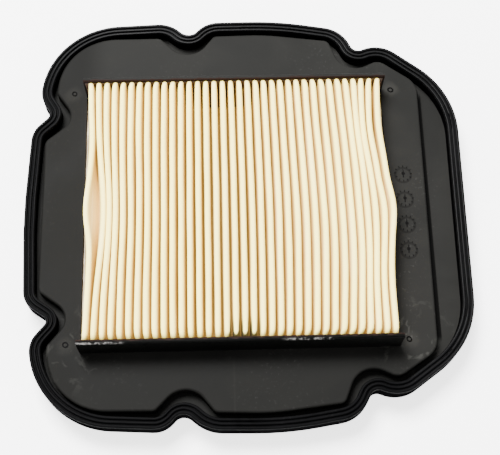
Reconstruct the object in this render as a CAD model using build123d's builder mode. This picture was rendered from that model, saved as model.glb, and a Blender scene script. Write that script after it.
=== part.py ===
"""Panel air filter for a motorcycle airbox.

A moulded plastic frame with a raised plateau carries a pack of folded paper in
its rectangular opening. A rubber seal with three crowns wraps the rim, which is
notched in six places so that the screws of the airbox lid can pass beside it.
Dirty air enters from +Z, clean air leaves through a wire screen on the -Z side.

Frame of the part: +Z is the dirty side, +X runs across the folds, +Y runs along
them. The part stands on the foot of its skirt at Z = 0, centred over the origin.
"""
from build123d import *
import math
import os

# ---- heights, in mm above the foot of the skirt ----------------------------
SEAL_FOOT_Z = 6.5
FLANGE_FOOT_Z = 9.0
FLANGE_TOP_Z = 11.0
SEAL_BED_Z = 17.3
PLATEAU_TOP_Z = 18.0
SEAL_TOP_Z = 18.3
WALL_TOP_Z = 36.0

# ---- pleat pack -------------------------------------------------------------
PACK_X = -4.6
PACK_Y = -1.6
PLEAT_COUNT = 36
PLEAT_PITCH = 4.4
PAPER_THICK = 0.5
TIP_HALF_WIDTH = 1.3
PLEAT_FOOT_Z = 3.35
PLEAT_TIP_Z = 35.9
PLEAT_LENGTH = 141.0
END_LEG_X = 80.0
END_LEG_BEND_Z = 16.0

# ---- opening, skirt and end walls -------------------------------------------
OPENING_X = 162.0
OPENING_Y = 142.0
OPENING_CORNER = 0.4
WALL_THICK = 2.5
LEDGE_WIDTH = 3.0
LEDGE_HIGH = 2.0
BAR_WIDTH = 3.0
CROSSWISE_BARS_Y = (-24.0, 24.0)
LENGTHWISE_BARS_X = (-41.0, 0.0, 41.0)

# ---- rim, seal and underside ------------------------------------------------
SEAL_WIDTH = 6.0
SLOT_DEPTH = 3.0
CROWN_WIDTH = 1.6
CROWN_INSETS = (0.1, 2.2, 4.3)
PLATEAU_ROUND = 1.2
SHELL_WALL = 2.5
SHELL_ROOF = 2.5
RIB_THICK = 2.0

# ---- small moulding marks on the plateau ------------------------------------
GATE_MIDDLE_X = -1.0
GATE_X = 87.2
GATE_Y = 71.0
GATE_RECESS_RADIUS = 1.6
GATE_RECESS_DEEP = 0.4
GATE_STUB_RADIUS = 0.8
DIAL_X = 89.6
DIAL_MIDDLE_Y = -0.6
DIAL_PITCH = 14.3
DIAL_COUNT = 4
DIAL_TICKS = 12
DIAL_RADIUS = 4.2
DIAL_RAISE = 0.2

# ---- wire screen ------------------------------------------------------------
WIRE_RADIUS = 0.35
WIRE_PITCH = 5.0
WIRE_BITE = 0.05

# Corners of the rim from the middle of its west edge round to the middle of its
# east edge, as (x, y, corner radius). X counts from the middle of the pleat pack.
# The other half of the rim is the mirror image in the X axis.
RIM_CORNERS = (
    (-112.5, 9.5, 84.0),
    (-110.7, 48.4, 12.5),
    (-98.8, 57.8, 3.5),
    (-107.2, 69.4, 14.0),
    (-101.3, 111.6, 44.0),
    (-36.7, 114.8, 15.0),
    (-27.2, 104.8, 6.0),
    (-16.4, 115.2, 19.0),
    (23.7, 115.8, 180.0),
    (60.4, 109.7, 18.0),
    (67.2, 95.2, 4.5),
    (81.4, 101.0, 18.0),
    (121.7, 71.0, 47.5),
)

# The raised plateau follows the rim inside the seal, stands clear of the screw
# notches and leaves a low strip along the east edge.
PLATEAU_CORNERS = (
    (-103.4, 42.4, 5.0),
    (-86.2, 55.7, 9.2),
    (-98.0, 71.4, 3.0),
    (-97.2, 105.0, 32.0),
    (-42.1, 105.5, 4.0),
    (-25.9, 89.0, 12.0),
    (-12.0, 106.6, 4.0),
    (16.0, 107.4, 120.0),
    (52.6, 102.9, 4.0),
    (61.2, 81.2, 12.0),
    (80.2, 90.4, 7.0),
    (101.0, 76.0, 12.0),
)


def level(height):
    """Workplane at a height, with its origin on the middle of the pleat pack."""
    return Plane(origin=(PACK_X, PACK_Y, height), z_dir=(0, 0, 1))


def rim_level(height):
    """Workplane at a height, with its origin on the mirror line of the rim."""
    return Plane(origin=(PACK_X, 0, height), z_dir=(0, 0, 1))


def outline_face(corners, inset=0.0):
    """Face of a rounded outline given by its northern half, shrunk by inset."""
    southern = [(x, -y, r) for x, y, r in reversed(corners)]
    ring = list(corners) + southern
    with BuildLine() as edge:
        FilletPolyline([(x, y) for x, y, r in ring], radius=[r for x, y, r in ring], close=True)
    make_face(edge.edges())
    if inset > 0:
        offset(amount=-inset)


def band_face(outer_inset, inner_inset):
    """Closed band that follows the rim between two insets."""
    outline_face(RIM_CORNERS, outer_inset)
    offset(amount=outer_inset - inner_inset, mode=Mode.SUBTRACT)


os.makedirs("parts", exist_ok=True)

# ---- moulded frame ----------------------------------------------------------
with BuildPart() as frame:
    # flange that sits in the slot of the seal
    with BuildSketch(rim_level(FLANGE_FOOT_Z)):
        outline_face(RIM_CORNERS, SLOT_DEPTH)
    extrude(amount=FLANGE_TOP_Z - FLANGE_FOOT_Z)
    # raised plateau with a rounded shoulder
    with BuildSketch(rim_level(FLANGE_TOP_Z)):
        outline_face(PLATEAU_CORNERS)
    extrude(amount=PLATEAU_TOP_Z - FLANGE_TOP_Z)
    fillet(frame.faces().sort_by(Axis.Z)[-1].edges(), radius=PLATEAU_ROUND)
    # the plateau is a shell: hollow underneath, up to a constant roof
    with BuildSketch(rim_level(FLANGE_FOOT_Z)):
        outline_face(PLATEAU_CORNERS, SHELL_WALL)
    extrude(amount=PLATEAU_TOP_Z - SHELL_ROOF - FLANGE_FOOT_Z, mode=Mode.SUBTRACT)
    # stiffening ribs under the plateau, all within its outline
    with BuildSketch(rim_level(FLANGE_FOOT_Z)):
        for side in (-1, 1):
            with Locations((-26.9, side * 83.5)):
                Rectangle(RIB_THICK, 20.0)
            with Locations((20.0, side * 88.5), (-70.0, side * 86.0)):
                Rectangle(RIB_THICK, 27.0)
            with Locations((59.0, side * 79.5)):
                Rectangle(RIB_THICK, 14.0)
            with Locations((-92.5, side * 36.0), (91.0, side * 36.0), (91.0, side * 62.0)):
                Rectangle(17.0, RIB_THICK)
            with Locations((-85.5, side * 57.0)):
                Rectangle(5.0, RIB_THICK)
        with Locations((-92.5, 0), (91.0, 0)):
            Rectangle(17.0, RIB_THICK)
    extrude(amount=PLATEAU_TOP_Z - SHELL_ROOF - FLANGE_FOOT_Z)
    # skirt round the lower part of the pleats
    with BuildSketch(level(0)):
        RectangleRounded(
            OPENING_X + 2 * WALL_THICK,
            OPENING_Y + 2 * WALL_THICK,
            OPENING_CORNER + WALL_THICK,
        )
    extrude(amount=PLATEAU_TOP_Z)
    # end walls that stand up on both ends of the folds
    with BuildSketch(level(PLATEAU_TOP_Z)):
        with GridLocations(0, OPENING_Y + WALL_THICK, 1, 2):
            Rectangle(OPENING_X, WALL_THICK)
    extrude(amount=WALL_TOP_Z - PLATEAU_TOP_Z)
    # opening for the pleat pack
    with BuildSketch(level(LEDGE_HIGH)):
        RectangleRounded(OPENING_X, OPENING_Y, OPENING_CORNER)
    extrude(amount=WALL_TOP_Z, mode=Mode.SUBTRACT)
    with BuildSketch(level(0)):
        RectangleRounded(
            OPENING_X - 2 * LEDGE_WIDTH,
            OPENING_Y - 2 * LEDGE_WIDTH,
            OPENING_CORNER,
        )
    extrude(amount=LEDGE_HIGH, mode=Mode.SUBTRACT)
    # bars across the foot of the opening, which carry the screen
    with BuildSketch(level(0)):
        for bar_y in CROSSWISE_BARS_Y:
            with Locations((0, bar_y)):
                Rectangle(OPENING_X - LEDGE_WIDTH, BAR_WIDTH)
        for bar_x in LENGTHWISE_BARS_X:
            with Locations((bar_x, 0)):
                Rectangle(BAR_WIDTH, OPENING_Y - LEDGE_WIDTH)
    extrude(amount=LEDGE_HIGH)
    # rounded top edges of the end walls
    wall_tops = frame.faces().filter_by(Axis.Z).sort_by(Axis.Z)[-2:]
    fillet(wall_tops.edges().filter_by(Axis.X), radius=0.8)
    # gate recesses, each with the stub of the gate in its middle
    with BuildSketch(rim_level(PLATEAU_TOP_Z)):
        with Locations((GATE_MIDDLE_X, 0)):
            with GridLocations(2 * GATE_X, 2 * GATE_Y, 2, 2):
                Circle(GATE_RECESS_RADIUS)
                Circle(GATE_STUB_RADIUS, mode=Mode.SUBTRACT)
    extrude(amount=-GATE_RECESS_DEEP, mode=Mode.SUBTRACT)
    # mould dials: a ring of ticks round a pointer
    with BuildSketch(rim_level(PLATEAU_TOP_Z)):
        with Locations((DIAL_X, DIAL_MIDDLE_Y)):
            with GridLocations(0, DIAL_PITCH, 1, DIAL_COUNT):
                Circle(0.9)
                Rectangle(0.5, 4.6)
                with PolarLocations(DIAL_RADIUS, DIAL_TICKS):
                    Rectangle(1.0, 0.4)
    extrude(amount=DIAL_RAISE)
frame.part.label = "frame"
export_step(frame.part, "parts/frame.step")

# ---- rubber seal, one moulded ring ------------------------------------------
with BuildPart() as perimeter_seal:
    with BuildSketch(rim_level(SEAL_FOOT_Z)):
        band_face(0.0, SEAL_WIDTH)
    extrude(amount=SEAL_BED_Z - SEAL_FOOT_Z)
    fillet(perimeter_seal.faces().sort_by(Axis.Z)[0].edges(), radius=0.8)
    # slot that grips the flange
    with BuildSketch(rim_level(FLANGE_FOOT_Z)):
        outline_face(RIM_CORNERS, SLOT_DEPTH)
    extrude(amount=FLANGE_TOP_Z - FLANGE_FOOT_Z, mode=Mode.SUBTRACT)
    # three sealing crowns
    for crown_inset in CROWN_INSETS:
        with BuildSketch(rim_level(SEAL_BED_Z - 0.4)):
            band_face(crown_inset, crown_inset + CROWN_WIDTH)
        extrude(amount=SEAL_TOP_Z - SEAL_BED_Z + 0.4)
    fillet(perimeter_seal.faces().sort_by(Axis.Z)[-3:].edges(), radius=0.6)
perimeter_seal.part.label = "perimeter_seal"
export_step(perimeter_seal.part, "parts/perimeter_seal.step")


def fold_side(tip_half, tip_z, foot_half, foot_z):
    """Corners of one face of the folded sheet, from the west leg to the east leg."""
    points = []
    for index in range(PLEAT_COUNT):
        tip_x = (index - (PLEAT_COUNT - 1) / 2) * PLEAT_PITCH
        points.append((tip_x - tip_half, tip_z))
        points.append((tip_x + tip_half, tip_z))
        if index < PLEAT_COUNT - 1:
            foot_x = tip_x + PLEAT_PITCH / 2
            points.append((foot_x - foot_half, foot_z))
            points.append((foot_x + foot_half, foot_z))
    return points


# ---- folded paper -----------------------------------------------------------
inner_half = TIP_HALF_WIDTH - PAPER_THICK
upper_side = fold_side(
    TIP_HALF_WIDTH, PLEAT_TIP_Z, inner_half, PLEAT_FOOT_Z + PAPER_THICK
)
lower_side = fold_side(
    inner_half, PLEAT_TIP_Z - PAPER_THICK, TIP_HALF_WIDTH, PLEAT_FOOT_Z
)
leg_in = END_LEG_X - PAPER_THICK
west_leg = [(-END_LEG_X, PLEAT_FOOT_Z), (-END_LEG_X, END_LEG_BEND_Z)]
east_leg = [(END_LEG_X, END_LEG_BEND_Z), (END_LEG_X, PLEAT_FOOT_Z)]
east_leg_back = [(leg_in, PLEAT_FOOT_Z), (leg_in, END_LEG_BEND_Z)]
west_leg_back = [(-leg_in, END_LEG_BEND_Z), (-leg_in, PLEAT_FOOT_Z)]
going = west_leg + upper_side + east_leg
returning = east_leg_back + lower_side[::-1] + west_leg_back
going_radii = [0, 0] + [1.1, 1.1, 0.6, 0.6] * (PLEAT_COUNT - 1) + [1.1, 1.1, 0, 0]
returning_radii = [0, 0] + [0.6, 0.6, 1.1, 1.1] * (PLEAT_COUNT - 1) + [0.6, 0.6, 0, 0]
with BuildPart() as pleated_media:
    with BuildSketch(Plane(origin=(PACK_X, PACK_Y + PLEAT_LENGTH / 2, 0), x_dir=(1, 0, 0), z_dir=(0, -1, 0))):
        with BuildLine():
            FilletPolyline(going + returning, radius=going_radii + returning_radii, close=True)
        make_face()
    extrude(amount=PLEAT_LENGTH)
pleated_media.part.label = "pleated_media"
export_step(pleated_media.part, "parts/pleated_media.step")

# ---- potting resin that closes both ends of the folds -----------------------
POT_THICK = (OPENING_Y - PLEAT_LENGTH) / 2
POT_TOP_Z = 34.6
POT_LONG = 2 * END_LEG_X

with BuildPart() as potting_north:
    with BuildSketch(level(PLEAT_FOOT_Z)):
        with Locations((0, (OPENING_Y - POT_THICK) / 2)):
            Rectangle(POT_LONG, POT_THICK)
    extrude(amount=POT_TOP_Z - PLEAT_FOOT_Z)
potting_north.part.label = "potting_north"
export_step(potting_north.part, "parts/potting_north.step")

with BuildPart() as potting_south:
    with BuildSketch(level(PLEAT_FOOT_Z)):
        with Locations((0, (POT_THICK - OPENING_Y) / 2)):
            Rectangle(POT_LONG, POT_THICK)
    extrude(amount=POT_TOP_Z - PLEAT_FOOT_Z)
potting_south.part.label = "potting_south"
export_step(potting_south.part, "parts/potting_south.step")

# ---- glue beads between the outer legs of the pack and the skirt ------------
BEAD_THICK = OPENING_X / 2 - END_LEG_X
BEAD_TOP_Z = 15.0

with BuildPart() as side_bead_west:
    with BuildSketch(level(PLEAT_FOOT_Z)):
        with Locations((-END_LEG_X - BEAD_THICK / 2, 0)):
            Rectangle(BEAD_THICK, PLEAT_LENGTH)
    extrude(amount=BEAD_TOP_Z - PLEAT_FOOT_Z)
side_bead_west.part.label = "side_bead_west"
export_step(side_bead_west.part, "parts/side_bead_west.step")

with BuildPart() as side_bead_east:
    with BuildSketch(level(PLEAT_FOOT_Z)):
        with Locations((END_LEG_X + BEAD_THICK / 2, 0)):
            Rectangle(BEAD_THICK, PLEAT_LENGTH)
    extrude(amount=BEAD_TOP_Z - PLEAT_FOOT_Z)
side_bead_east.part.label = "side_bead_east"
export_step(side_bead_east.part, "parts/side_bead_east.step")

# ---- wire screen on the clean side ------------------------------------------
SCREEN_X = OPENING_X - 2.0
SCREEN_Y = OPENING_Y - 2.0
LOWER_WIRE_Z = LEDGE_HIGH + WIRE_RADIUS
UPPER_WIRE_Z = LOWER_WIRE_Z + 2 * WIRE_RADIUS - WIRE_BITE
LOWER_WIRES = math.floor(SCREEN_X / WIRE_PITCH)
UPPER_WIRES = math.floor(SCREEN_Y / WIRE_PITCH)

with BuildPart() as screen_lower_wires:
    with BuildSketch(Plane(origin=(PACK_X, PACK_Y + SCREEN_Y / 2, LOWER_WIRE_Z), x_dir=(1, 0, 0), z_dir=(0, -1, 0))):
        with GridLocations(WIRE_PITCH, 0, LOWER_WIRES, 1):
            Circle(WIRE_RADIUS)
    extrude(amount=SCREEN_Y)
screen_lower_wires.part.label = "screen_lower_wires"
export_step(screen_lower_wires.part, "parts/screen_lower_wires.step")

with BuildPart() as screen_upper_wires:
    with BuildSketch(Plane(origin=(PACK_X - SCREEN_X / 2, PACK_Y, UPPER_WIRE_Z), x_dir=(0, 1, 0), z_dir=(1, 0, 0))):
        with GridLocations(WIRE_PITCH, 0, UPPER_WIRES, 1):
            Circle(WIRE_RADIUS)
    extrude(amount=SCREEN_X)
screen_upper_wires.part.label = "screen_upper_wires"
export_step(screen_upper_wires.part, "parts/screen_upper_wires.step")
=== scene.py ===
import logging
import math
from collections.abc import Callable
from dataclasses import dataclass, field
from enum import Enum

import bmesh
import bpy
from mathutils import Matrix, Vector, noise


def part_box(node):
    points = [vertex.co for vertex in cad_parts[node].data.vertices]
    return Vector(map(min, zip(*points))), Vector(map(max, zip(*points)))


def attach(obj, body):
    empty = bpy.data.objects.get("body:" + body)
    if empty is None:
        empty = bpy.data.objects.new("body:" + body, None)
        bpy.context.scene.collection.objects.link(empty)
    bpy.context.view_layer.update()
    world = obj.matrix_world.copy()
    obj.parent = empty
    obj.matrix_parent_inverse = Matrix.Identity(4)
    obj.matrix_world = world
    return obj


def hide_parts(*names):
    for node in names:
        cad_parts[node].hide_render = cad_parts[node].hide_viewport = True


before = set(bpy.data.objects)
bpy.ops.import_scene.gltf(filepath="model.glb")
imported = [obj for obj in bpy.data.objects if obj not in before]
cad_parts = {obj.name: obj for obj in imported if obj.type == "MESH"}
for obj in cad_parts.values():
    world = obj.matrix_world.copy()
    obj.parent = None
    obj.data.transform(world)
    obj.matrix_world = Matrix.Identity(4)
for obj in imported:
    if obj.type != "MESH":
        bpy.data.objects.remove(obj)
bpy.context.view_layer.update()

Socket = bpy.types.NodeSocket
Node = bpy.types.Node
NodeTree = bpy.types.NodeTree
Material = bpy.types.Material
Pieces = list[bpy.types.Object]
Pair = tuple[float, float]
Triple = tuple[float, float, float]

LOG = logging.getLogger("air_filter")
MM = 0.001
ROOT = "root"
WELD_M = 1e-6
FLAT_DEGREES = 0.4
BEAD_SHARP_DEGREES = 50.0


# Options
class End(Enum):
    """End of the folds; the value is the sign of Y."""

    NORTH = 1
    SOUTH = -1


class Flank(Enum):
    """Outer flank of the pleat pack; the value is the sign of X."""

    WEST = -1
    EAST = 1


# Node helpers
class Graph:
    """Thin writer for a shader node tree."""

    def __init__(self, tree: NodeTree) -> None:
        """Keep the tree that nodes are added to.

        Args:
            tree: Node tree of a material or of a shader group.
        """
        self.tree = tree

    def add(self, kind: str, **values: object) -> Node:
        """Add one node and set its properties and inputs.

        Args:
            kind: Blender's type name of the node.
            **values: Property names, or input names written with underscores
                and the prefix ``in_`` (a number after the prefix is an index).

        Returns:
            The new node.
        """
        node = self.tree.nodes.new(kind)
        for key, value in values.items():
            if key.startswith("in_"):
                name = key[3:]
                slot = int(name) if name.isdigit() else name.replace("_", " ")
                node.inputs[slot].default_value = value
            else:
                setattr(node, key, value)
        return node

    def link(self, source: Socket, target: Socket) -> None:
        """Join an output socket to an input socket."""
        self.tree.links.new(source, target)

    def math(self, operation: str, first: object, second: object = 0.0) -> Socket:
        """Add a Math node.

        Args:
            operation: Name of the operation.
            first: Socket or number for the first input.
            second: Socket or number for the second input.

        Returns:
            The node's output socket.
        """
        node = self.add("ShaderNodeMath", operation=operation)
        for slot, value in enumerate((first, second)):
            if isinstance(value, Socket):
                self.link(value, node.inputs[slot])
            else:
                node.inputs[slot].default_value = value
        return node.outputs[0]

    def noise(self, vector: Socket, **values: float) -> Socket:
        """Add a Noise texture that is read at a vector.

        Args:
            vector: Socket with the vector.
            **values: Inputs of the node, as for ``add``.

        Returns:
            Socket with the noise, about 0 to 1.
        """
        node = self.add("ShaderNodeTexNoise", **values)
        self.link(vector, node.inputs["Vector"])
        return node.outputs["Fac"]

    def product(self, *values: object) -> Socket:
        """Multiply two or more sockets or numbers.

        Args:
            *values: Sockets or numbers.

        Returns:
            Socket with the product.
        """
        total = values[0]
        for value in values[1:]:
            total = self.math("MULTIPLY", total, value)
        return total

    def largest(self, *values: object) -> Socket:
        """Take the largest of two or more sockets.

        Args:
            *values: Sockets.

        Returns:
            Socket with the largest value.
        """
        best = values[0]
        for value in values[1:]:
            best = self.math("MAXIMUM", best, value)
        return best

    def off(self, value: Socket, centre: float) -> Socket:
        """Distance of a value from a centre, always positive."""
        return self.math("ABSOLUTE", self.math("SUBTRACT", value, centre))

    def radius(self, across: Socket, along: Socket) -> Socket:
        """Length of the line with these two sides."""
        squares = self.math("ADD", self.math("POWER", across, 2.0), self.math("POWER", along, 2.0))
        return self.math("SQRT", squares)

    def span(
        self, value: Socket, low: float, high: float, edge: float
    ) -> Socket:
        """Mask that is 1 from low to high and fades out over an edge.

        Args:
            value: Socket that is tested.
            low: Lower limit.
            high: Upper limit.
            edge: Width of each fade, outside the limits.

        Returns:
            Mask from 0 to 1.
        """
        return self.product(self.ramp(value, low - edge, low), self.ramp(value, high + edge, high))

    def ramp(self, value: Socket, low: float, high: float) -> Socket:
        """Map a value smoothly from low..high onto 0..1, clamped.

        Args:
            value: Socket that is mapped.
            low: Value that gives 0.
            high: Value that gives 1.

        Returns:
            Output socket of the Map Range node.
        """
        node = self.add("ShaderNodeMapRange", interpolation_type="SMOOTHSTEP")
        node.inputs["From Min"].default_value = low
        node.inputs["From Max"].default_value = high
        self.link(value, node.inputs["Value"])
        return node.outputs["Result"]

    def mix(self, share: object, first: object, second: object) -> Socket:
        """Mix two colours.

        Args:
            share: Socket or number, 0 for the first colour and 1 for the second.
            first: Socket or colour.
            second: Socket or colour.

        Returns:
            Colour output of the Mix node.
        """
        node = self.add("ShaderNodeMix", data_type="RGBA", clamp_factor=True)
        for slot, value in ((0, share), (6, first), (7, second)):
            if isinstance(value, Socket):
                self.link(value, node.inputs[slot])
            elif isinstance(value, (int, float)):
                node.inputs[slot].default_value = value
            else:
                node.inputs[slot].default_value = (*value, 1.0)
        return node.outputs[2]


@dataclass(frozen=True)
class Place:
    """Object coordinates of a surface point, in millimetres."""

    vector: Socket
    x: Socket
    y: Socket
    z: Socket


def object_place(graph: Graph) -> Place:
    """Read Object coordinates as millimetres.

    Args:
        graph: Writer of the material's tree.

    Returns:
        The point as a vector and as its three parts.
    """
    where = graph.add("ShaderNodeTexCoord")
    scale = graph.add("ShaderNodeVectorMath", operation="SCALE", in_Scale=1000.0)
    graph.link(where.outputs["Object"], scale.inputs[0])
    parts = graph.add("ShaderNodeSeparateXYZ")
    graph.link(scale.outputs[0], parts.inputs[0])
    return Place(scale.outputs[0], parts.outputs[0], parts.outputs[1], parts.outputs[2])


def new_group(name: str, inputs: dict[str, tuple[str, float]], outputs: dict[str, str]) -> NodeTree:
    """Make an empty shader group with named sockets.

    Args:
        name: Name of the group.
        inputs: Input names with their socket kind and default value.
        outputs: Output names with their socket kind.

    Returns:
        The group's node tree, holding its input and output nodes.
    """
    tree = bpy.data.node_groups.new(name, "ShaderNodeTree")
    for label, (kind, value) in inputs.items():
        socket = tree.interface.new_socket(label, in_out="INPUT", socket_type=kind)
        if kind == "NodeSocketFloat":
            socket.default_value = value
    for label, kind in outputs.items():
        tree.interface.new_socket(label, in_out="OUTPUT", socket_type=kind)
    tree.nodes.new("NodeGroupInput")
    tree.nodes.new("NodeGroupOutput")
    return tree


def group_ends(tree: NodeTree) -> tuple[Node, Node]:
    """Find a group's input and output nodes.

    Args:
        tree: Node tree of the group.

    Returns:
        The input node and the output node.
    """
    found = {node.bl_idname: node for node in tree.nodes}
    return found["NodeGroupInput"], found["NodeGroupOutput"]


class Effects:
    """Shader groups that more than one finish uses, each built once."""

    def __init__(self) -> None:
        """Build the groups."""
        self.grain = self._grain()
        self.dust = self._dust()

    @staticmethod
    def _grain() -> NodeTree:
        """Make the group for the skin of a moulded piece.

        Returns:
            Group with a fine height and a broad mottle, both from 0 to 1.
        """
        tree = new_group(
            "moulded_skin",
            {
                "Place": ("NodeSocketVector", 0.0),
                "Grain per mm": ("NodeSocketFloat", 3.0),
                "Mottle per mm": ("NodeSocketFloat", 0.03),
            },
            {"Height": "NodeSocketFloat", "Mottle": "NodeSocketFloat"},
        )
        graph = Graph(tree)
        start, end = group_ends(tree)
        fine = graph.add("ShaderNodeTexNoise", in_Detail=2.0, in_Roughness=0.6)
        graph.link(start.outputs["Place"], fine.inputs["Vector"])
        graph.link(start.outputs["Grain per mm"], fine.inputs["Scale"])
        broad = graph.add("ShaderNodeTexNoise", in_Detail=4.0, in_Roughness=0.55, in_Distortion=0.6)
        graph.link(start.outputs["Place"], broad.inputs["Vector"])
        graph.link(start.outputs["Mottle per mm"], broad.inputs["Scale"])
        graph.link(fine.outputs["Fac"], end.inputs["Height"])
        graph.link(graph.ramp(broad.outputs["Fac"], 0.3, 0.7), end.inputs["Mottle"])
        return tree

    @staticmethod
    def _dust() -> NodeTree:
        """Make the group for loose specks and handling dust.

        Returns:
            Group with a mask from 0 to 1.
        """
        tree = new_group(
            "handling_dust",
            {
                "Place": ("NodeSocketVector", 0.0),
                "Specks per mm": ("NodeSocketFloat", 0.5),
                "Cover": ("NodeSocketFloat", 0.1),
            },
            {"Mask": "NodeSocketFloat"},
        )
        graph = Graph(tree)
        start, end = group_ends(tree)
        specks = graph.add("ShaderNodeTexNoise", in_Detail=5.0, in_Roughness=0.75)
        graph.link(start.outputs["Place"], specks.inputs["Vector"])
        graph.link(start.outputs["Specks per mm"], specks.inputs["Scale"])
        patches = graph.noise(start.outputs["Place"], in_Scale=0.035, in_Detail=2.0)
        spots = graph.ramp(specks.outputs["Fac"], 0.56, 0.72)
        zones = graph.ramp(patches, 0.45, 0.7)
        graph.link(graph.product(spots, zones, start.outputs["Cover"]), end.inputs["Mask"])
        return tree


class Surface:
    """One material being written: its tree, its shader and its place."""

    def __init__(self, name: str, colour: Triple) -> None:
        """Start a material with a Principled shader.

        Args:
            name: Name of the material.
            colour: Plain colour for the viewport.
        """
        self.material = bpy.data.materials.new(name)
        self.material.use_nodes = True
        self.material.diffuse_color = (*colour, 1.0)
        self.graph = Graph(self.material.node_tree)
        self.shader = self.material.node_tree.nodes["Principled BSDF"]
        self.place = object_place(self.graph)

    def use(self, group: NodeTree, **values: float) -> Node:
        """Place a shared group and feed it this surface's place.

        Args:
            group: Node tree of the group.
            **values: Input values, with underscores for spaces.

        Returns:
            The group node.
        """
        node = self.graph.add("ShaderNodeGroup", node_tree=group)
        self.graph.link(self.place.vector, node.inputs["Place"])
        for key, value in values.items():
            node.inputs[key.replace("_", " ")].default_value = value
        return node

    def bump(self, height: Socket, depth_mm: float) -> None:
        """Turn a height from 0 to 1 into a normal and give it to the shader.

        Args:
            height: Socket with the height.
            depth_mm: Real height of the relief in millimetres.
        """
        node = self.graph.add("ShaderNodeBump", in_Strength=1.0, in_Distance=depth_mm * MM)
        self.graph.link(height, node.inputs["Height"])
        self.graph.link(node.outputs[0], self.shader.inputs["Normal"])

    def rough(self, share: Socket, limits: Pair) -> None:
        """Spread the roughness between two limits.

        Args:
            share: Socket, 0 for the first limit and 1 for the second.
            limits: Roughness at both ends.
        """
        spread = self.graph.add("ShaderNodeMapRange")
        spread.inputs["To Min"].default_value, spread.inputs["To Max"].default_value = limits
        self.graph.link(share, spread.inputs["Value"])
        self.feed("Roughness", spread.outputs["Result"])

    def feed(self, socket: str, source: Socket) -> None:
        """Link a source to one input of the shader."""
        self.graph.link(source, self.shader.inputs[socket])

    def set(self, **values: object) -> None:
        """Set inputs of the shader, with underscores for spaces in their names."""
        for key, value in values.items():
            self.shader.inputs[key.replace("_", " ")].default_value = value


# Finishes
@dataclass(frozen=True)
class GateMarks:
    """Places and sizes of the marks round the four moulding gates, in mm."""

    middle_x: float = -5.6
    x: float = 87.2
    y: float = 71.0
    pit_radius: float = 2.3
    pit_floor_z: float = 17.7
    halo: Pair = (9.0, 4.5)
    halo_ragged: float = 6.0
    halo_share: float = 0.30
    rub: Pair = (34.0, 6.0)
    rub_patch: Pair = (0.55, 0.66)
    rub_south: Pair = (-40.0, -60.0)
    rub_share: float = 0.16

    def distance(self, graph: Graph, place: Place) -> Socket:
        """Distance from the nearest gate, in mm."""
        across = graph.math("SUBTRACT", graph.off(place.x, self.middle_x), self.x)
        along = graph.math("SUBTRACT", graph.math("ABSOLUTE", place.y), self.y)
        return graph.radius(across, along)


@dataclass(frozen=True)
class DialMarks:
    """Places and sizes of the four mould dials, in mm."""

    x: float = 85.0
    first_y: float = -23.65
    pitch: float = 14.3
    count: int = 4
    ring: float = 4.2
    line: Pair = (0.8, 0.4)
    line_share: float = 0.40
    raised_z: Pair = (18.12, 18.3)
    raised_share: float = 0.9

    def mask(self, graph: Graph, place: Place) -> Socket:
        """Mask of the raised marks and of a faint ring through them."""
        marks = graph.product(graph.span(place.z, *self.raised_z, 0.09), self.raised_share)
        for index in range(self.count):
            along = graph.math("SUBTRACT", place.y, self.first_y + index * self.pitch)
            away = graph.radius(graph.math("SUBTRACT", place.x, self.x), along)
            line = graph.ramp(graph.off(away, self.ring), *self.line)
            marks = graph.largest(marks, graph.product(line, self.line_share))
        return marks


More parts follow.
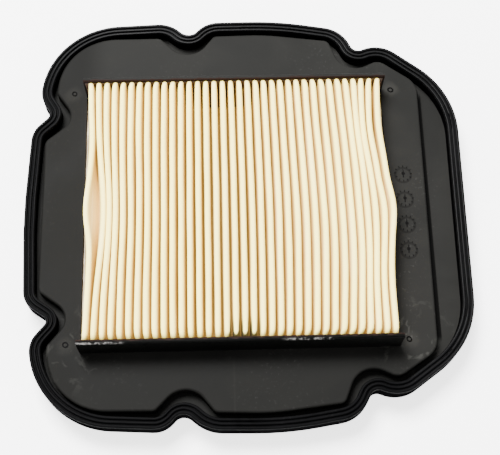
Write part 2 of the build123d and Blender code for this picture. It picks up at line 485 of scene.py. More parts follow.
@dataclass(frozen=True)
class FramePlastic:
    """Dark, semi-matt moulded plastic with flow mottle, resin smears, pale marks on the south wall's edge,
    and painted shade.
    """

    dark: Triple = (0.0092, 0.0092, 0.0086)
    light: Triple = (0.0122, 0.0121, 0.0112)
    halo: Triple = (0.030, 0.029, 0.026)
    rubbed: Triple = (0.10, 0.10, 0.09)
    resin: Triple = (0.014, 0.008, 0.0065)
    pale_grey: Triple = (0.16, 0.155, 0.15)
    # colour of the painted shade, also used for the dial marks
    painted_shade_and_dials: Triple = (0.0012, 0.0012, 0.0011)
    roughness: Pair = (0.46, 0.58)
    gates: GateMarks = GateMarks()
    dials: DialMarks = DialMarks()
    knit_x_mm: float = -8.0
    knit_wide_mm: Pair = (0.7, 0.1)
    knit_south_mm: Pair = (-78.0, -84.0)
    knit_share: float = 0.12
    # painted shade: a dark line at the foot of the east step, a darker south wall, and darker west and south
    # sides
    step_shadow_x_mm: Pair = (96.6, 99.1)
    step_half_y_mm: float = 68.0
    step_fade_mm: Pair = (0.4, 0.6)
    above_flange_mm: Pair = (10.0, 10.8)
    above_plateau_mm: Pair = (18.4, 19.4)
    south_wall_shade_share: float = 0.92
    west_shade_mm: Pair = (-72.0, -90.0)
    west_shade: float = 0.42
    south_shade_mm: Pair = (-75.0, -90.0)
    south_shade: float = 0.32
    wall_top_mm: float = 36.0
    wall_inner_y_mm: float = 71.0
    creep_mm: float = 2.4
    pack_y_mm: float = -1.6
    pale_edge_x_mm: tuple[Pair, ...] = ((-86.0, -64.0), (18.0, 40.0))

    def material(self, effects: Effects) -> Material:
        """Write the material.

        Args:
            effects: Shared shader groups.

        Returns:
            The finished material.
        """
        skin = Surface("frame_plastic", self.dark)
        graph, place = skin.graph, skin.place
        grain = skin.use(effects.grain, Grain_per_mm=2.6, Mottle_per_mm=0.028)
        dust = skin.use(effects.dust, Specks_per_mm=0.55, Cover=0.10)
        colour = graph.mix(grain.outputs["Mottle"], self.dark, self.light)
        colour = graph.mix(dust.outputs["Mask"], colour, self.pale_grey)
        distance = self.gates.distance(graph, place)
        colour = self._flow_marks(skin, distance, colour)
        # painted shade, and the darker dial marks
        colour = graph.mix(self._painted_shade_and_dials(skin, distance), colour, self.painted_shade_and_dials)
        along = graph.math("SUBTRACT", place.y, self.pack_y_mm)
        colour = graph.mix(self._resin_creep(skin, along), colour, self.resin)
        colour = graph.mix(self._pale_edge_marks(skin, along), colour, self.pale_grey)
        skin.feed("Base Color", colour)
        skin.rough(grain.outputs["Mottle"], self.roughness)
        skin.set(IOR=1.47, Specular_IOR_Level=0.02)
        skin.bump(grain.outputs["Height"], 0.035)
        return skin.material

    def _flow_marks(self, skin: Surface, distance: Socket, colour: Socket) -> Socket:
        """Add the pale flow halos and rubs round the gates and the knit line.

        Args:
            skin: Surface being written.
            distance: Distance from the nearest gate.
            colour: Colour so far.

        Returns:
            Colour with the marks.
        """
        graph, place = skin.graph, skin.place
        gates = self.gates
        cloud = graph.noise(place.vector, in_Scale=0.12, in_Detail=5.0, in_Roughness=0.6, in_Distortion=0.8)
        ragged = graph.math("ADD", distance, graph.product(cloud, gates.halo_ragged))
        halo = graph.ramp(ragged, *gates.halo)
        colour = graph.mix(graph.product(halo, gates.halo_share), colour, self.halo)
        rubbed = graph.product(
            graph.ramp(distance, *gates.rub),
            graph.ramp(cloud, *gates.rub_patch),
            graph.ramp(place.y, *gates.rub_south),
            gates.rub_share,
        )
        colour = graph.mix(rubbed, colour, self.rubbed)
        knit = graph.product(
            graph.ramp(graph.off(place.x, self.knit_x_mm), *self.knit_wide_mm),
            graph.ramp(place.y, *self.knit_south_mm),
            self.knit_share,
        )
        return graph.mix(knit, colour, self.halo)

    def _painted_shade_and_dials(self, skin: Surface, distance: Socket) -> Socket:
        """Mask of painted shade in the gate pits, at the foot of the east step, on the south wall and on the
        west and south sides, and of the darker dial marks.

        Args:
            skin: Surface being written.
            distance: Distance from the nearest gate.

        Returns:
            Mask from 0 to 1.
        """
        graph, place = skin.graph, skin.place
        gates = self.gates
        # painted shade in the recess of each gate pit
        pit_shade = graph.product(
            graph.ramp(distance, gates.pit_radius + 0.3, gates.pit_radius),
            graph.ramp(place.z, gates.pit_floor_z + 0.1, gates.pit_floor_z),
        )
        west_edge, east_edge = self.step_shadow_x_mm
        west_fade, east_fade = self.step_fade_mm
        # painted shadow: a dark line along the foot of the east step
        foot = graph.product(
            graph.ramp(place.x, west_edge - west_fade, west_edge),
            graph.ramp(place.x, east_edge + east_fade, east_edge),
            graph.ramp(graph.math("ABSOLUTE", place.y), self.step_half_y_mm + 4.0, self.step_half_y_mm),
            graph.ramp(place.z, *self.above_flange_mm),
        )
        # painted shade: the frame above the plateau is darker over its south half, the south wall with it
        wall = graph.product(
            graph.ramp(place.z, *self.above_plateau_mm),
            graph.ramp(place.y, 10.0, -10.0),
            self.south_wall_shade_share,
        )
        # painted shade: darker towards the west and the south sides
        west = graph.product(graph.ramp(place.x, *self.west_shade_mm), self.west_shade)
        south = graph.product(graph.ramp(place.y, *self.south_shade_mm), self.south_shade)
        return graph.largest(pit_shade, foot, self.dials.mask(graph, place), wall, west, south)

    def _resin_creep(self, skin: Surface, along: Socket) -> Socket:
        """Mask of the resin film on the inner edge of the end walls.

        Args:
            skin: Surface being written.
            along: Distance from the middle of the pack along the folds.

        Returns:
            Mask from 0 to 1.
        """
        graph, place = skin.graph, skin.place
        reach = graph.math("ABSOLUTE", along)
        spread = graph.product(graph.noise(place.vector, in_Scale=0.22, in_Detail=3.0), self.creep_mm)
        near = graph.math("LESS_THAN", reach, graph.math("ADD", spread, self.wall_inner_y_mm - 0.3))
        high = graph.ramp(place.z, self.wall_top_mm - 7.0, self.wall_top_mm - 1.0)
        inside = graph.math("GREATER_THAN", reach, self.wall_inner_y_mm - 0.2)
        return graph.product(near, high, inside)

    def _pale_edge_marks(self, skin: Surface, along: Socket) -> Socket:
        """Mask of pale marks along the top of the south wall's outer face.

        Args:
            skin: Surface being written.
            along: Distance from the middle of the pack along the folds.

        Returns:
            Mask from 0 to 1.
        """
        graph, place = skin.graph, skin.place
        rub = graph.noise(place.vector, in_Scale=0.6, in_Detail=4.0, in_Roughness=0.7)
        south = graph.ramp(along, -(self.wall_inner_y_mm + 1.3), -(self.wall_inner_y_mm + 1.9))
        top = graph.ramp(place.z, self.wall_top_mm - 1.1, self.wall_top_mm - 0.5)
        broken = graph.ramp(rub, 0.42, 0.62)
        stretches = [
            graph.product(
                graph.ramp(place.x, low - 3.0, low + 3.0),
                graph.ramp(place.x, high + 4.0, high - 4.0),
            )
            for low, high in self.pale_edge_x_mm
        ]
        return graph.product(south, top, broken, graph.largest(*stretches))


@dataclass(frozen=True)
class SealRubber:
    """Near-black moulded rubber with a faint bloom and glossy crowns, whose sheen is painted stronger in the
    north-east.
    """

    black: Triple = (0.0010, 0.0010, 0.0011)
    bloom: Triple = (0.0024, 0.0024, 0.0026)
    roughness: Pair = (0.34, 0.48)
    dull_below_mm: float = 16.6
    painted_sheen: Pair = (0.012, 0.05)
    sheen_turns_mm: float = 60.0

    def material(self, effects: Effects) -> Material:
        """Write the material.

        Args:
            effects: Shared shader groups.

        Returns:
            The finished material.
        """
        skin = Surface("seal_rubber", self.black)
        graph = skin.graph
        grain = skin.use(effects.grain, Grain_per_mm=4.0, Mottle_per_mm=0.05)
        dust = skin.use(effects.dust, Specks_per_mm=0.8, Cover=0.06)
        colour = graph.mix(grain.outputs["Mottle"], self.black, self.bloom)
        colour = graph.mix(dust.outputs["Mask"], colour, (0.12, 0.12, 0.12))
        skin.feed("Base Color", colour)
        skin.rough(grain.outputs["Mottle"], self.roughness)
        # only the crowns shine; the sheen on them is painted stronger in the north-east and weaker in the
        # south-west
        crowns = graph.ramp(skin.place.z, self.dull_below_mm, self.dull_below_mm + 1.0)
        diagonal = graph.math("ADD", skin.place.x, skin.place.y)
        north_east = graph.ramp(diagonal, -self.sheen_turns_mm, self.sheen_turns_mm)
        dull, bright = self.painted_sheen
        level = graph.math("ADD", graph.product(north_east, bright - dull), dull)
        skin.feed("Specular IOR Level", graph.product(crowns, level))
        skin.set(IOR=1.5)
        skin.bump(grain.outputs["Height"], 0.02)
        return skin.material


@dataclass(frozen=True)
class FilterPaper:
    """Resin-treated filter paper, pale on the tips, with painted shade that turns it tan down between the
    folds and darker on each fold's east half, and a painted glow.
    """

    tip: Triple = (1.0, 0.87, 0.26)
    # painted shade: colours the paper takes down between the folds and on the east half of each fold
    shaded: Triple = (0.74, 0.51, 0.16)
    flank: Triple = (0.68, 0.49, 0.16)
    deep_shade: Triple = (0.46, 0.31, 0.09)
    warm: Triple = (0.94, 0.76, 0.45)
    felt: Triple = (0.70, 0.58, 0.40)
    speck: Triple = (0.30, 0.22, 0.14)
    lit: Triple = (1.0, 0.87, 0.18)
    deep_glow: Triple = (0.125, 0.083, 0.02)
    slit_shadow: Triple = (0.012, 0.008, 0.004)
    glow_strength: float = 1.3
    tip_z_mm: float = 35.9
    slit_x_mm: Pair = (-11.0, 5.0)
    slit_south_mm: Pair = (-60.0, -68.0)
    slit_share: float = 0.95
    band_scale: Triple = (0.55, 0.02, 0.05)

    def material(self, effects: Effects) -> Material:
        """Write the material.

        Args:
            effects: Shared shader groups; not used.

        Returns:
            The finished material.
        """
        skin = Surface("filter_paper", self.tip)
        graph, place = skin.graph, skin.place
        # painted shade: the paper turns tan and then brown down between the folds; only the tips keep the
        # paper's own colour
        colour = graph.mix(self._depth(skin, 20.0, 4.0), self.deep_shade, self.flank)
        colour = graph.mix(self._depth(skin, 2.6, 0.3), colour, self.tip)
        # painted shade: the east half of every fold is darker, as if lit from the west
        side = graph.add("ShaderNodeAttribute", attribute_name="fold_side")
        east = graph.ramp(side.outputs["Fac"], 0.05, 1.0)
        colour = graph.mix(graph.product(east, 0.75), colour, self.shaded)
        # long, soft bands of warmer paper that run with the folds
        stretch = graph.add("ShaderNodeMapping", in_Scale=self.band_scale)
        graph.link(place.vector, stretch.inputs["Vector"])
        bands = graph.noise(stretch.outputs[0], in_Scale=1.0, in_Detail=2.0)
        colour = graph.mix(graph.product(graph.ramp(bands, 0.5, 0.72), 0.35), colour, self.warm)
        # felted fibres and a few dark specks
        felt = graph.noise(place.vector, in_Scale=2.2, in_Detail=5.0, in_Roughness=0.7)
        colour = graph.mix(graph.product(graph.ramp(felt, 0.3, 0.75), 0.10), colour, self.felt)
        specks = graph.noise(place.vector, in_Scale=0.9, in_Detail=1.0)
        colour = graph.mix(graph.product(graph.ramp(specks, 0.80, 0.83), 0.6), colour, self.speck)
        # painted shadow in the gaps between a few folds at the south end
        slit_shadows = self._slit_shadows(skin)
        skin.feed("Base Color", graph.mix(slit_shadows, colour, self.slit_shadow))
        # painted light: an emission glow stands for light that soaks through the sheet; it fades below the
        # tips and is weaker on the east half of each fold
        glow = graph.mix(self._depth(skin, 0.3, 2.8), self.lit, self.deep_glow)
        glow = graph.mix(slit_shadows, glow, self.slit_shadow)
        skin.feed("Emission Color", graph.mix(graph.product(east, 0.8), glow, self.deep_glow))
        skin.set(Emission_Strength=self.glow_strength, Roughness=0.85, Specular_IOR_Level=0.2)
        skin.bump(felt, 0.06)
        return skin.material

    def _depth(self, skin: Surface, start: float, end: float) -> Socket:
        """Mask that goes from 0 to 1 between two depths below the tips, in mm."""
        return skin.graph.ramp(skin.place.z, self.tip_z_mm - start, self.tip_z_mm - end)

    def _slit_shadows(self, skin: Surface) -> Socket:
        """Mask of painted shadow in the gaps between a few folds at the south end.

        Args:
            skin: Surface being written.

        Returns:
            Mask from 0 to 1.
        """
        graph, place = skin.graph, skin.place
        low, high = self.slit_x_mm
        return graph.product(
            graph.ramp(place.x, low - 2.0, low + 2.0),
            graph.ramp(place.x, high + 2.0, high - 2.0),
            graph.ramp(place.y, *self.slit_south_mm),
            self._depth(skin, 0.4, 1.1),
            self.slit_share,
        )


@dataclass(frozen=True)
class MottledSkin:
    """Plain finish that drifts between two colours over a fine relief."""

    name: str
    colour: Triple
    patches: Triple
    grain_per_mm: float
    mottle_per_mm: float
    relief_mm: float
    settings: dict[str, float]
    roughness: Pair | None = None

    def material(self, effects: Effects) -> Material:
        """Write the material.

        Args:
            effects: Shared shader groups.

        Returns:
            The finished material.
        """
        skin = Surface(self.name, self.colour)
        grain = skin.use(effects.grain, Grain_per_mm=self.grain_per_mm, Mottle_per_mm=self.mottle_per_mm)
        skin.feed("Base Color", skin.graph.mix(grain.outputs["Mottle"], self.colour, self.patches))
        skin.set(**self.settings)
        if self.roughness is not None:
            skin.rough(grain.outputs["Mottle"], self.roughness)
        skin.bump(grain.outputs["Height"], self.relief_mm)
        return skin.material


CURED_RESIN = MottledSkin(
    name="potting_resin",
    colour=(0.022, 0.010, 0.006),
    patches=(0.050, 0.024, 0.013),
    grain_per_mm=0.7,
    mottle_per_mm=0.16,
    relief_mm=0.15,
    settings={"Roughness": 0.35, "IOR": 1.5, "Coat_Weight": 0.2, "Coat_Roughness": 0.2},
)
AMBER_GLUE = MottledSkin(
    name="glue_bead",
    colour=(0.50, 0.37, 0.19),
    patches=(0.66, 0.54, 0.33),
    grain_per_mm=0.5,
    mottle_per_mm=0.1,
    relief_mm=0.1,
    settings={"Roughness": 0.3, "IOR": 1.48},
)
ZINC_WIRE = MottledSkin(
    name="screen_wire",
    colour=(0.62, 0.62, 0.60),
    patches=(0.36, 0.36, 0.35),
    grain_per_mm=5.0,
    mottle_per_mm=0.4,
    relief_mm=0.015,
    settings={"Metallic": 1.0},
    roughness=(0.28, 0.5),
)


# Mesh helpers
def make_piece(name: str, mesh: bmesh.types.BMesh, material: Material) -> bpy.types.Object:
    """Turn a bmesh into an object at the origin.

    Args:
        name: Name of the piece.
        mesh: Mesh in the row's frame, in metres; it is freed.
        material: Finish of the piece.

    Returns:
        The new object.
    """
    data = bpy.data.meshes.new(name)
    mesh.to_mesh(data)
    mesh.free()
    data.materials.append(material)
    piece = bpy.data.objects.new(name, data)
    bpy.context.scene.collection.objects.link(piece)
    return piece


def smooth_by_angle(piece: bpy.types.Object, degrees: float) -> None:
    """Shade smooth, with sharp edges above an angle."""
    piece.data.shade_smooth()
    piece.data.set_sharp_from_angle(angle=math.radians(degrees))


def merged_copy(
    node: str,
    name: str,
    material: Material,
    degrees: float,
    bend: Callable[[bmesh.types.BMesh, Vector], None] | None = None,
) -> bpy.types.Object:
    """Copy a CAD node with its loose triangles merged and shaded smooth.

    Args:
        node: Name of the CAD node.
        name: Name of the new piece.
        material: Finish of the piece.
        degrees: Angle above which an edge stays sharp.
        bend: Optional function that moves the vertices.

    Returns:
        The new object, which rides on the body and replaces the node.
    """
    mesh = bmesh.new()
    mesh.from_mesh(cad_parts[node].data)
    bmesh.ops.remove_doubles(mesh, verts=mesh.verts, dist=WELD_M)
    if bend is not None:
        bend(mesh, pack_middle())
    piece = make_piece(name, mesh, material)
    smooth_by_angle(piece, degrees)
    # level faces are shaded flat, so that their edges don't darken them
    level = math.cos(math.radians(FLAT_DEGREES))
    for polygon in piece.data.polygons:
        polygon.use_smooth = abs(polygon.normal.z) < level
    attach(piece, ROOT)
    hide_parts(node)
    return piece


def cut_block(node: str, axis: int, cuts: int) -> tuple[bmesh.types.BMesh, Vector]:
    """Make a block the size of a CAD node, cut across its long side.

    Args:
        node: Name of the CAD node.
        axis: Number of the long axis, 0 for X and 1 for Y.
        cuts: Number of cuts.

    Returns:
        The mesh and the middle of the node's box, in metres.
    """
    low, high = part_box(node)
    size, middle = high - low, (high + low) / 2
    mesh = bmesh.new()
    bmesh.ops.create_cube(mesh, size=1.0)
    bmesh.ops.scale(mesh, vec=size, verts=mesh.verts)
    bmesh.ops.translate(mesh, vec=middle, verts=mesh.verts)
    long_edges = [
        edge for edge in mesh.edges if abs(edge.verts[0].co[axis] - edge.verts[1].co[axis]) > size[axis] / 2
    ]
    bmesh.ops.subdivide_edges(mesh, edges=long_edges, cuts=cuts, use_grid_fill=True)
    return mesh, middle


def bead_piece(
    name: str, mesh: bmesh.types.BMesh, material: Material, node: str
) -> bpy.types.Object:
    """Turn a bead's mesh into a piece that rides on the body.

    Args:
        name: Name of the piece.
        mesh: Mesh in the row's frame, in metres.
        material: Finish of the piece.
        node: Name of the CAD node that it replaces.

    Returns:
        The new object.
    """
    bmesh.ops.recalc_face_normals(mesh, faces=mesh.faces)
    piece = make_piece(name, mesh, material)
    smooth_by_angle(piece, BEAD_SHARP_DEGREES)
    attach(piece, ROOT)
    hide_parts(node)
    return piece


def drift_noise(x: float, y: float, z: float) -> float:
    """Repeatable smooth noise from about -1 to 1."""
    return noise.noise(Vector((x, y, z)), noise_basis="PERLIN_ORIGINAL")


# Sub-assemblies
@dataclass(frozen=True)
class Dent:
    """A stretch of rim that stands off its drawn place; lengths in mm."""

    at: Pair
    push: Pair
    reach: float


@dataclass(frozen=True)
class RimFlex:
    """Small set of the soft rim and plateau against the pleat pack."""

    turn_degrees: float = -0.4
    still_half: Pair = (83.6, 75.6)
    blend: float = 6.0
    dents: tuple[Dent, ...] = (
        Dent((-100.0, 58.0), (-1.6, 0.4), 7.0),
        Dent((-98.0, -57.0), (1.6, 0.2), 7.0),
        Dent((-27.0, 108.0), (1.4, 0.2), 9.0),
        Dent((-27.0, -107.0), (-1.4, 0.2), 9.0),
        Dent((121.0, 60.0), (0.0, -0.9), 22.0),
        Dent((121.0, -60.0), (0.0, -0.9), 22.0),
    )

    def bend(self, mesh: bmesh.types.BMesh, middle: Vector) -> None:
        """Move the vertices that lie outside the skirt.

        Args:
            mesh: Mesh in metres.
            middle: Middle of the pleat pack.
        """
        turn = math.radians(self.turn_degrees)
        for vert in mesh.verts:
            x, y = (vert.co.x - middle.x) / MM, (vert.co.y - middle.y) / MM
            beyond = max(abs(x) - self.still_half[0], abs(y) - self.still_half[1])
            share = min(1.0, max(0.0, beyond / self.blend))
            if share == 0.0:
                continue
            dx, dy = -turn * y, turn * x
            for dent in self.dents:
                far = (x - dent.at[0]) ** 2 + (y - dent.at[1]) ** 2
                weight = math.exp(-0.5 * far / dent.reach**2)
                dx += dent.push[0] * weight
                dy += dent.push[1] * weight
            vert.co.x += dx * share * MM
            vert.co.y += dy * share * MM


def pack_middle() -> Vector:
    """Middle of the pleat pack's box, in metres."""
    low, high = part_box("pleated_media")
    return (low + high) / 2


@dataclass
class MouldedFrame:
    """Plastic moulding: flange, plateau, end walls, skirt and foot bars."""

    finish: FramePlastic = field(default_factory=FramePlastic)
    sharp_degrees: float = 32.0

    def build(self, effects: Effects) -> Pieces:
        """Build and dress the moulding.

        Args:
            effects: Shared shader groups.

        Returns:
            The pieces made.
        """
        material = self.finish.material(effects)
        piece = merged_copy("frame", "frame_moulding", material, self.sharp_degrees, RimFlex().bend)
        return [piece]


@dataclass
class SealRing:
    """Rubber ring with three crowns."""

    finish: SealRubber = field(default_factory=SealRubber)
    sharp_degrees: float = 40.0

    def build(self, effects: Effects) -> Pieces:
        """Build and dress the seal.

        Args:
            effects: Shared shader groups.

        Returns:
            The pieces made.
        """
        material = self.finish.material(effects)
        piece = merged_copy("perimeter_seal", "seal_ring", material, self.sharp_degrees, RimFlex().bend)
        return [piece]


@dataclass(frozen=True)
class Bulge:
    """A place where hand pressure pushed a few folds to one side.

    The push is in mm towards +X. It fades from a fold and a place along it,
    over a number of folds and a reach in mm.
    """

    push: float
    fold: float
    folds_wide: float
    y: float
    reach: float

    def at(self, fold: float, y: float) -> float:
        """Sideways push on one point.

        Args:
            fold: Number of the fold, from 0 in the west.
            y: Place along the fold, in mm.

        Returns:
            Push towards +X in mm.
        """
        across = (fold - self.fold) / self.folds_wide
        along = (y - self.y) / self.reach
        return self.push * math.exp(-0.5 * (across * across + along * along))


@dataclass
class PleatPack:
    """One sheet of paper in 36 folds, bent a little by handling."""

    count: int = 36
    pitch: float = 4.4
    paper: float = 0.5
    tip_radius: float = 1.18
    tip_z: float = 35.9
    foot_z: float = 3.35
    half_length: float = 70.8
    leg_x: float = 79.75
    leg_bend_z: float = 16.0
    leg_lean: float = 0.5
    rows: int = 44
    arc_steps: int = 6
    leg_steps: int = 7
    belly: float = 0.30
    belly_at: float = 0.30
    belly_wide: float = 0.16
    open_from: float = 0.02
    open_depth: float = 0.30
    open_share: float = 0.95
    close_from: float = 0.45
    close_depth: float = 0.5
    end_pinch: float = 6.0
    end_round: float = 1.6
    end_drop: float = 1.3
    pinch: float = 0.16
    drift: float = 0.18
    swell_drift: float = 0.06
    finish: FilterPaper = field(default_factory=FilterPaper)
    bulges: tuple[Bulge, ...] = (
        Bulge(0.5, 0.0, 0.4, 0.0, 300.0),
        Bulge(3.6, 1.0, 1.5, -6.0, 26.0),
        Bulge(-2.6, 0.0, 0.35, -6.0, 24.0),
        Bulge(-1.6, 0.0, 0.35, -3.0, 11.0),
        Bulge(0.9, 0.0, 0.35, 34.0, 14.0),
        Bulge(0.9, 0.0, 0.35, -38.0, 14.0),
        Bulge(-0.7, 7.0, 5.0, 0.0, 90.0),
        Bulge(3.4, 31.0, 5.5, -14.0, 36.0),
        Bulge(0.9, 24.0, 5.0, 5.0, 50.0),
        Bulge(-1.9, 34.3, 1.4, 46.0, 17.0),
        Bulge(1.6, 35.0, 0.9, -1.0, 10.0),
        Bulge(-1.8, 35.0, 1.0, -42.0, 17.0),
        Bulge(0.9, 30.5, 1.6, 34.0, 20.0),
        Bulge(0.8, 1.0, 0.35, 0.0, 36.0),
        Bulge(0.9, 5.5, 2.2, -8.0, 22.0),
        Bulge(0.4, 18.0, 3.0, 0.0, 60.0),
        Bulge(-1.0, 33.3, 1.2, 36.0, 14.0),
        Bulge(-0.9, 33.0, 0.8, -42.0, 14.0),
        Bulge(-1.0, 34.5, 0.8, 10.0, 8.0),
        Bulge(0.6, 30.0, 1.2, -32.0, 22.0),
        Bulge(0.8, 0.0, 0.35, -18.0, 9.0),
        Bulge(0.4, 0.0, 0.35, 42.0, 12.0),
    )

    def build(self, effects: Effects) -> Pieces:
        """Fold the sheet, give it thickness and dress it.

        Args:
            effects: Shared shader groups.

        Returns:
            The pieces made.
        """
        profile = self.profile()
        mesh = bmesh.new()
        bmesh.ops.create_grid(mesh, x_segments=len(profile) - 1, y_segments=self.rows, size=1.0)
        middle = pack_middle()
        side = mesh.verts.layers.float.new("fold_side")
        for vert in mesh.verts:
            column = round((vert.co.x + 1) / 2 * (len(profile) - 1))
            along = vert.co.y
            # the rows stand closer together towards both ends
            y = self.half_length * math.copysign(abs(along) ** 0.85, along)
            fold, dx, z = profile[column]
            vert[side] = max(-1.0, min(1.0, dx / self.tip_radius))
            x, z = self.folded(fold, dx, y, z)
            vert.co = Vector((middle.x + x * MM, middle.y + y * MM, z * MM))
        bmesh.ops.recalc_face_normals(mesh, faces=mesh.faces)
        piece = make_piece("paper_folds", mesh, self.finish.material(effects))
        piece.data.shade_smooth()
        solid = piece.modifiers.new("paper_thickness", "SOLIDIFY")
        solid.thickness = self.paper * MM
        solid.offset = 0.0
        solid.use_rim = True
        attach(piece, ROOT)
        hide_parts("pleated_media")
        return [piece]

    def profile(self) -> list[Triple]:
        """Section of the sheet across the folds.

        Returns:
            Points from west to east as (fold number, offset from that fold's
            middle in mm, height in mm). A foot counts as half a fold.
        """
        foot_radius = self.pitch / 2 - self.tip_radius
        tip_z = self.tip_z - self.paper / 2 - self.tip_radius
        foot_z = self.foot_z + self.paper / 2 + foot_radius
        middle_z = (self.leg_bend_z + tip_z) / 2
        last = self.count - 1.0
        outer_leg = self.leg_x - last / 2 * self.pitch
        points = [
            (0.0, -outer_leg, self.foot_z),
            (0.0, -outer_leg, self.leg_bend_z),
            (0.0, -self.tip_radius - self.leg_lean, middle_z),
        ]
        for fold in range(self.count):
            points += self.arc(fold, self.tip_radius, tip_z, 1, self.arc_steps)
            if fold < last:
                points += self.leg(fold, self.tip_radius, tip_z, foot_z)
                points += self.arc(fold + 0.5, foot_radius, foot_z, -1, self.arc_steps - 2)
                points += self.leg(fold + 1, -self.tip_radius, foot_z, tip_z)
        points += [
            (last, self.tip_radius + self.leg_lean, middle_z),
            (last, outer_leg, self.leg_bend_z),
            (last, outer_leg, self.foot_z),
        ]
        return points

    @staticmethod
    def arc(fold: float, radius: float, centre_z: float, side: int, steps: int) -> list[Triple]:
        """Points of one half circle of the section, from west to east.

        Args:
            fold: Number of the fold.
            radius: Radius in mm.
            centre_z: Height of the centre in mm.
            side: 1 for a tip, over the centre, and -1 for a foot, under it.
            steps: Number of chords.

        Returns:
            Points as ``profile`` gives them.
        """
        turns = [math.pi * step / steps for step in range(steps + 1)]
        return [(fold, -radius * math.cos(turn), centre_z + side * radius * math.sin(turn)) for turn in turns]

    def leg(self, fold: float, dx: float, start_z: float, end_z: float) -> list[Triple]:
        """Points between the two ends of one straight leg.

        Args:
            fold: Number of the fold.
            dx: Offset from the fold's middle in mm.
            start_z: Height of the first end in mm.
            end_z: Height of the other end in mm.

        Returns:
            Points as ``profile`` gives them, without the ends.
        """
        steps = self.leg_steps + 1
        return [(fold, dx, start_z + (end_z - start_z) * step / steps) for step in range(1, steps)]

    def lean(self, fold: float, y: float) -> float:
        """Sideways lean of one fold's tip.

        Args:
            fold: Number of the fold.
            y: Place along the fold in mm.

        Returns:
            Push towards +X in mm.
        """
        pushed = sum(bulge.at(fold, y) for bulge in self.bulges)
        return pushed + self.drift * drift_noise(fold * 1.7, y * 0.035, 4.0)

    def laid_open(self, fold: float, dx: float, y: float, depth: float) -> float:
        """Slope of the leg between the first two folds where they gape.

        Args:
            fold: Number of the fold.
            dx: Offset from the fold's middle in mm.
            y: Place along the fold in mm.
            depth: Share of the height below the tip.

        Returns:
            Push towards +X in mm.
        """
        if fold != 0 or dx <= 0:
            return 0.0
        gape = max(0.0, self.lean(1.0, y) - self.lean(0.0, y))
        rise = min(1.0, max(0.0, depth - self.open_from) / self.open_depth)
        fall = min(1.0, max(0.0, depth - self.close_from) / self.close_depth)
        smooth = rise * rise * (3 - 2 * rise)
        return self.open_share * gape * smooth * (1 - fall)

    def folded(self, fold: float, dx: float, y: float, z: float) -> Pair:
        """Bend one point of the section as the real pack is bent.

        Args:
            fold: Number of the fold.
            dx: Offset from the fold's middle in mm.
            y: Place along the fold in mm.
            z: Height in mm.

        Returns:
            Final X from the middle of the pack and final Z, in mm.
        """
        near_end = max(0.0, 1 - (self.half_length - abs(y)) / self.end_pinch)
        lift = max(0.0, (z - self.foot_z) / (self.tip_z - self.foot_z))
        inner = 0 < fold < self.count - 1
        held = 1.0 - near_end**3
        lean = self.lean(fold, y) * held
        weight = lift**1.6 if z > self.leg_bend_z or inner else 0.0
        depth = 1.0 - lift
        belly = 0.0
        if inner or dx * (fold - 1) < 0:
            belly = self.belly * math.exp(-(((depth - self.belly_at) / self.belly_wide) ** 2))
        swell = 1.0 + belly + self.swell_drift * drift_noise(fold * 2.3, y * 0.05, 9.0)
        pinch = 1.0 - self.pinch * near_end * lift
        x = (fold - (self.count - 1) / 2) * self.pitch + dx * swell * pinch + lean * weight
        x += self.laid_open(fold, dx, y, depth) * held
        last = max(0.0, 1 - (self.half_length - abs(y)) / self.end_round)
        drop = self.end_drop * (1 - math.sqrt(max(0.0, 1 - last**2))) * lift**6
        wave = self.drift * drift_noise(fold * 3.1, y * 0.04, 2.0) * lift
        return x, z - drop + min(0.0, wave)


@dataclass
class PottingBead:
    """Resin that closes the folds at one end."""

    end: End
    sag_mm: float = 0.35
    inner_sag_mm: float = 0.5

    @property
    def node(self) -> str:
        """Name of the CAD node."""
        return f"potting_{self.end.name.lower()}"

    def build(self, material: Material) -> Pieces:
        """Build the bead with an uneven top.

        Args:
            material: Shared resin material.

        Returns:
            The pieces made.
        """
        mesh, middle = cut_block(self.node, axis=0, cuts=180)
        inner = -self.end.value
        for vert in mesh.verts:
            if vert.co.z > middle.z:
                x_mm = vert.co.x / MM
                sag = self.sag_mm * (1 + drift_noise(x_mm * 0.16, 3.0 * self.end.value, 1.0))
                # the side towards the folds has sunk more
                if (vert.co.y - middle.y) * inner > 0:
                    sag += self.inner_sag_mm
                vert.co.z -= sag * MM
        name = f"resin_{self.end.name.lower()}"
        return [bead_piece(name, mesh, material, self.node)]


@dataclass
class GlueBead:
    """Glue that joins the outer leg of the pack to the skirt on one flank."""

    flank: Flank

    @property
    def node(self) -> str:
        """Name of the CAD node."""
        return f"side_bead_{self.flank.name.lower()}"

    def build(self, material: Material) -> Pieces:
        """Build the bead with a wavy top.

        Args:
            material: Shared glue material.

        Returns:
            The pieces made.
        """
        mesh, middle = cut_block(self.node, axis=1, cuts=60)
        for vert in mesh.verts:
            if vert.co.z > middle.z:
                sag = 1.0 + drift_noise(vert.co.y / MM * 0.09, 7.0 * self.flank.value, 0.0)
                vert.co.z -= sag * MM
        name = f"glue_{self.flank.name.lower()}"
        return [bead_piece(name, mesh, material, self.node)]


@dataclass
class WireScreen:
    """Two layers of welded wire on the clean side."""

    finish: MottledSkin = ZINC_WIRE
    layers: tuple[str, ...] = ("lower", "upper")
    sharp_degrees: float = 50.0

    def build(self, effects: Effects) -> Pieces:
        """Build and dress both layers.

        Args:
            effects: Shared shader groups.

        Returns:
            The pieces made.
        """
        material = self.finish.material(effects)
        pieces = []
        for layer in self.layers:
            piece = merged_copy(f"screen_{layer}_wires", f"wires_{layer}", material, self.sharp_degrees)
            pieces.append(piece)
        return pieces


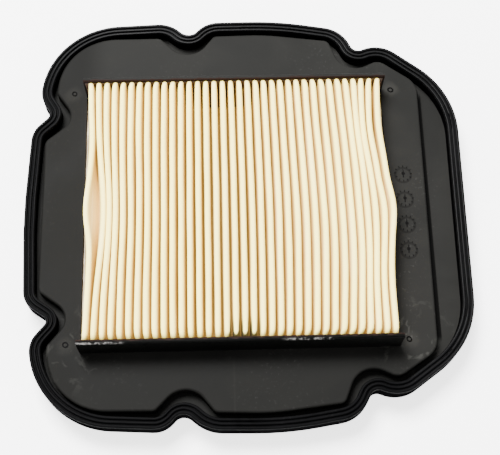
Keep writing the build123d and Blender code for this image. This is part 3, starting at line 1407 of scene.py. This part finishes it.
# Studio
@dataclass
class Studio:
    """Pale floor, soft light and the camera."""

    floor_half: float = 3.0
    floor_colour: Triple = (0.93, 0.93, 0.93)
    floor_glow: float = 2.5
    camera_at: Triple = (-0.01034, -0.21243, 0.56064)
    right: Triple = (0.99957, -0.02630, 0.01280)
    up: Triple = (0.02013, 0.93605, 0.35129)
    lens_mm: float = 79.2
    key_at: Triple = (-0.30, 0.52, 1.25)
    key_side: float = 0.60
    key_watts: float = 90.0
    sky: float = 1.05

    def build(self) -> None:
        """Make the floor, the lights and the camera."""
        self._floor()
        self._lights()
        self._camera()

    def _floor(self) -> None:
        """Lay the floor under the part."""
        surface = Surface("studio_floor", self.floor_colour)
        surface.set(
            Base_Color=(*self.floor_colour, 1.0),
            Roughness=0.9,
            Specular_IOR_Level=0.0,
            Emission_Color=(1.0, 1.0, 1.0, 1.0),
            Emission_Strength=self.floor_glow,
        )
        mesh = bmesh.new()
        bmesh.ops.create_grid(mesh, x_segments=1, y_segments=1, size=self.floor_half)
        floor = make_piece("floor", mesh, surface.material)

    def _lights(self) -> None:
        """Fill from all round and hang one square softbox that faces the part."""
        world = bpy.data.worlds.new("studio_air")
        world.use_nodes = True
        background = world.node_tree.nodes["Background"]
        background.inputs["Color"].default_value = (1.0, 1.0, 1.0, 1.0)
        background.inputs["Strength"].default_value = self.sky
        bpy.context.scene.world = world
        light = bpy.data.lights.new("key", "AREA")
        light.size = self.key_side
        light.energy = self.key_watts
        lamp = bpy.data.objects.new("key", light)
        lamp.location = self.key_at
        lamp.rotation_mode = "QUATERNION"
        lamp.rotation_quaternion = (-Vector(self.key_at)).to_track_quat("-Z", "Y")
        bpy.context.scene.collection.objects.link(lamp)

    def _camera(self) -> None:
        """Place the camera and make it the scene's camera."""
        data = bpy.data.cameras.new("camera")
        data.lens = self.lens_mm
        data.sensor_width = 36.0
        data.clip_start = 0.01
        data.clip_end = 20.0
        camera = bpy.data.objects.new("camera", data)
        right, up = Vector(self.right).normalized(), Vector(self.up).normalized()
        back = right.cross(up).normalized()
        turn = Matrix((right, up, back)).transposed().to_4x4()
        camera.matrix_world = Matrix.Translation(self.camera_at) @ turn
        bpy.context.scene.collection.objects.link(camera)
        bpy.context.scene.camera = camera


def report_pieces(group: str, pieces: Pieces) -> None:
    """Log the pieces of one sub-assembly."""
    for piece in pieces:
        LOG.info("%s: %s, %d vertices", group, piece.name, len(piece.data.vertices))


def main() -> None:
    """Build every sub-assembly in order and report it."""
    logging.basicConfig(level=logging.INFO, format="%(name)s %(message)s")
    effects = Effects()
    report_pieces("moulding", MouldedFrame().build(effects))
    report_pieces("seal", SealRing().build(effects))
    report_pieces("paper", PleatPack().build(effects))
    resin = CURED_RESIN.material(effects)
    for end in End:
        report_pieces("potting", PottingBead(end).build(resin))
    glue = AMBER_GLUE.material(effects)
    for flank in Flank:
        report_pieces("glue", GlueBead(flank).build(glue))
    report_pieces("screen", WireScreen().build(effects))
    Studio().build()


if __name__ == "__main__":
    main()
